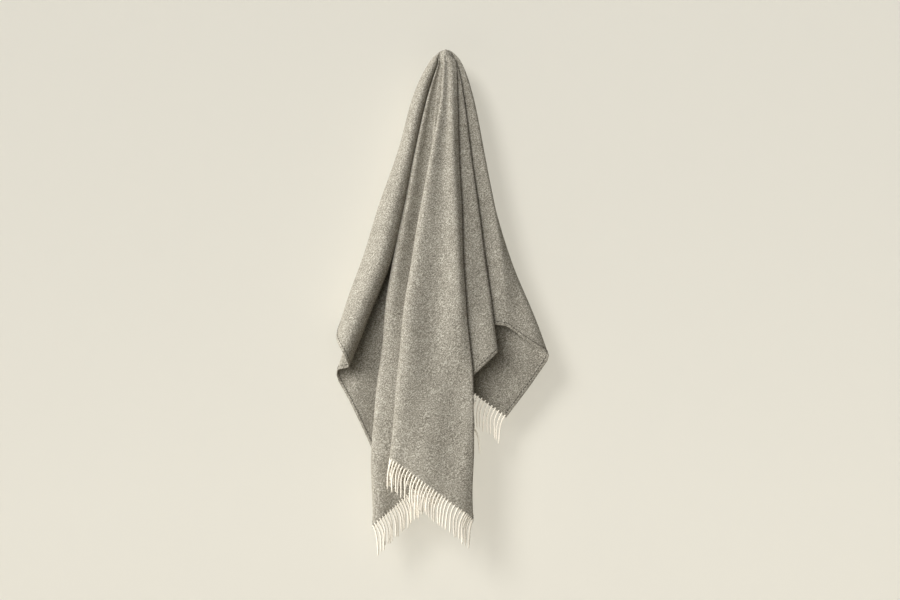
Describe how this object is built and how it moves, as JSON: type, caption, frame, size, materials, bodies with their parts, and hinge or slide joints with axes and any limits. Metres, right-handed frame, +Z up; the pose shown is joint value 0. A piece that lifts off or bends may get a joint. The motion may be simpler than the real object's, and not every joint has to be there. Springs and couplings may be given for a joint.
{
  "type": "camp blanket",
  "caption": "Wool throw with twisted fringed ends, hung from a peg near its middle so that it falls in deep pleats and slanting pointed corners.",
  "frame": {"origin": "the hanging point, where a peg holds the cloth up, at the top of the peak", "axes": "+Z up, the front of the hung blanket faces -Y, the wall is at +Y, +X is to the viewer's right"},
  "size_m": [0.559, 0.161, 1.3223],
  "materials": {
    "wool_twill": "brushed, matt, melange of cream and grey-brown yarns",
    "fringe_yarn": "soft twisted yarn, matt"
  },
  "bodies": {
    "cloth": {"woven_cloth": "wool_twill", "fringe_front_left_tucked": "fringe_yarn", "fringe_front_inner_1": "fringe_yarn", "fringe_front_inner_2": "fringe_yarn", "fringe_front_inner_3": "fringe_yarn", "fringe_back_right_tucked": "fringe_yarn", "fringe_back_inner_1": "fringe_yarn", "fringe_back_inner_2": "fringe_yarn", "fringe_back_inner_3": "fringe_yarn", "fringe_back_inner_4": "fringe_yarn"},
    "front_fringe": {"fringe_front_panel": "fringe_yarn"},
    "left_fringe": {"fringe_front_left_corner": "fringe_yarn"},
    "right_fringe": {"fringe_back_right_corner": "fringe_yarn"},
    "rear_fringe": {"fringe_back_left_corner": "fringe_yarn"}
  },
  "joints": [
    {"name": "front_fringe_swing", "type": "hinge", "parent": "cloth", "child": "front_fringe", "pos_m": [-0.0393, -0.105, -1.146], "axis": [-0.8022, 0.0039, 0.597], "range_deg": [0, 30]},
    {"name": "left_fringe_swing", "type": "hinge", "parent": "cloth", "child": "left_fringe", "pos_m": [-0.1611, -0.05, -1.218], "axis": [-0.7118, 0.1623, -0.6833], "range_deg": [0, 25]},
    {"name": "right_fringe_swing", "type": "hinge", "parent": "cloth", "child": "right_fringe", "pos_m": [0.1025, -0.019, -0.9213], "axis": [-0.7994, 0.033, 0.5999], "range_deg": [0, 25]},
    {"name": "rear_fringe_swing", "type": "hinge", "parent": "cloth", "child": "rear_fringe", "pos_m": [-0.0168, 0.0315, -0.8976], "axis": [0.6932, 0.0482, -0.7192], "range_deg": [0, 15]}
  ]
}
